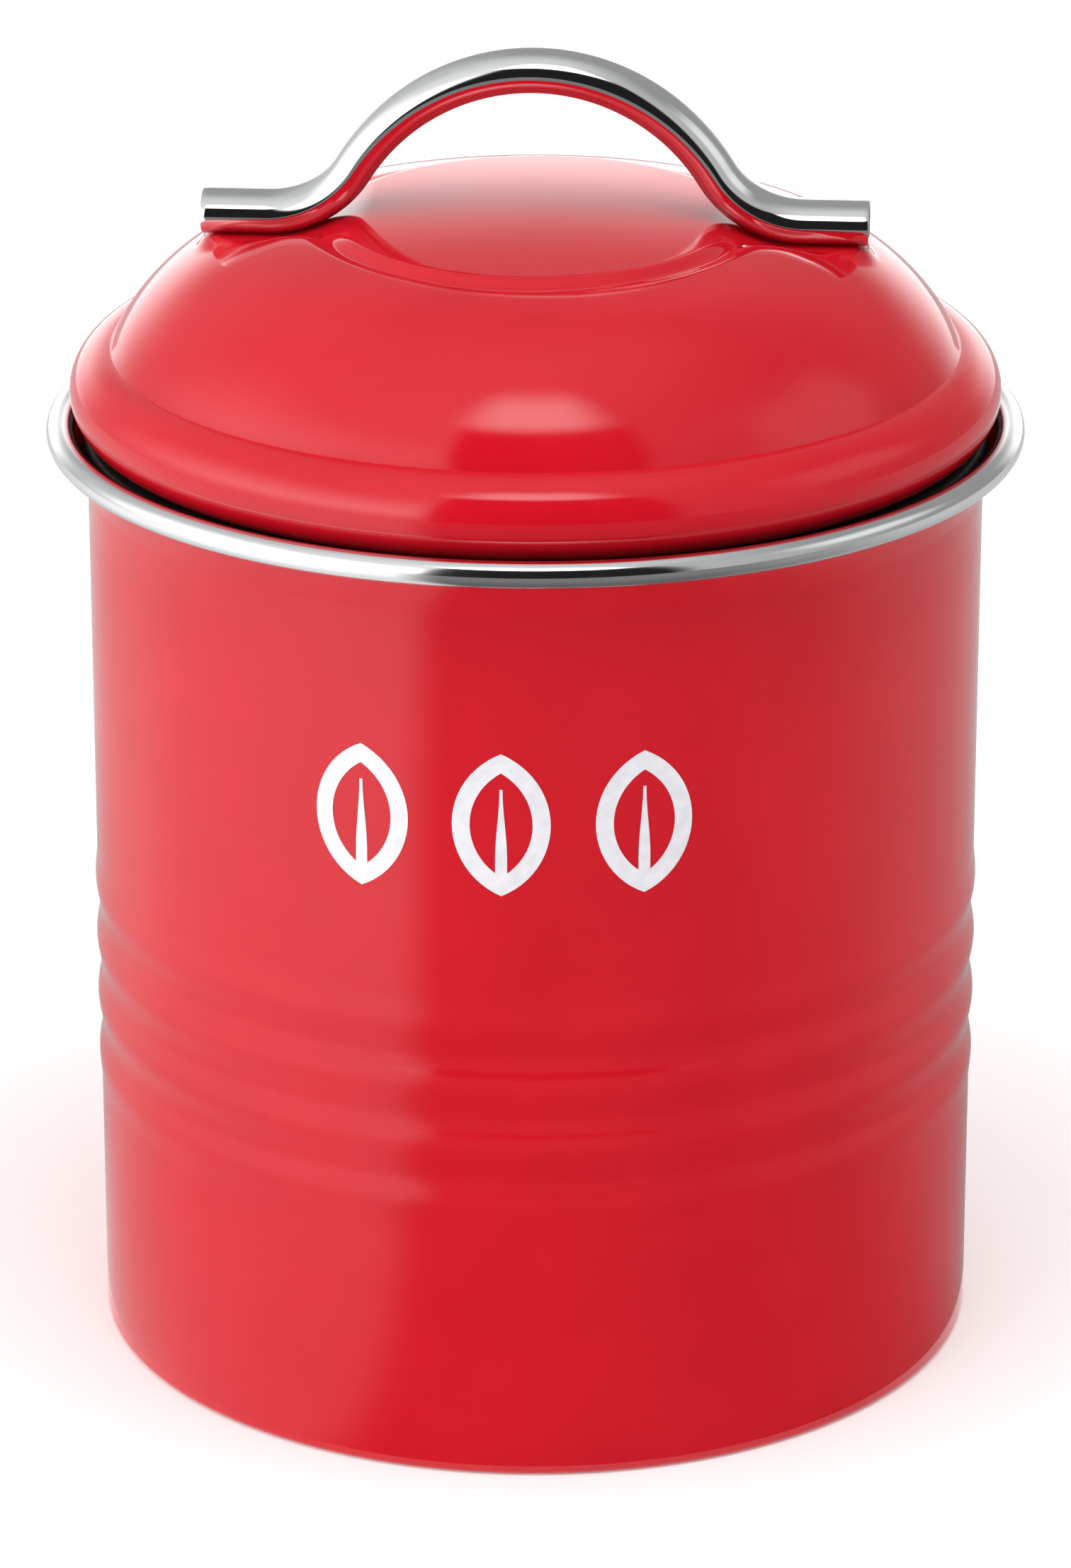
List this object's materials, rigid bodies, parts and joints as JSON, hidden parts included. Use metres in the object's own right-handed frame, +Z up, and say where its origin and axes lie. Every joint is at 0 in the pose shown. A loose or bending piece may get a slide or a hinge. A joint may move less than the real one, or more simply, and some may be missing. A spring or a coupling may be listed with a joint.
{
  "type": "tea canister",
  "caption": "Round enamelled metal storage canister with a beaded wall, rolled rim ring and lift-off domed lid with a bent strap handle.",
  "frame": {"origin": "centre of the base, on the surface the canister stands on", "axes": "+Z up along the canister's axis, X along the lid's handle, -Y towards the printed front"},
  "size_m": [0.1134, 0.1134, 0.1547],
  "materials": {
    "red_enamel": "glossy red stove enamel",
    "chrome_trim": "polished chrome plate",
    "tinplate": "bare tinplate",
    "white_print": "white printed enamel",
    "seal_rubber": "dark matt seal",
    "zinc_fastener": "zinc-plated steel"
  },
  "bodies": {
    "can": {"body_shell": "red_enamel", "base_disc": "tinplate", "rim_ring": "chrome_trim", "leaf_print": "white_print"},
    "lid": {"lid_shell": "red_enamel", "lid_plug": "tinplate", "lid_gasket": "seal_rubber", "handle_strap": "chrome_trim", "handle_bosses": "zinc_fastener", "handle_screws": "zinc_fastener", "handle_washers": "zinc_fastener"}
  },
  "joints": [
    {"name": "lid_lift", "type": "slide", "parent": "can", "child": "lid", "axis": [0, 0, 1], "range_m": [0, 0.06]}
  ]
}
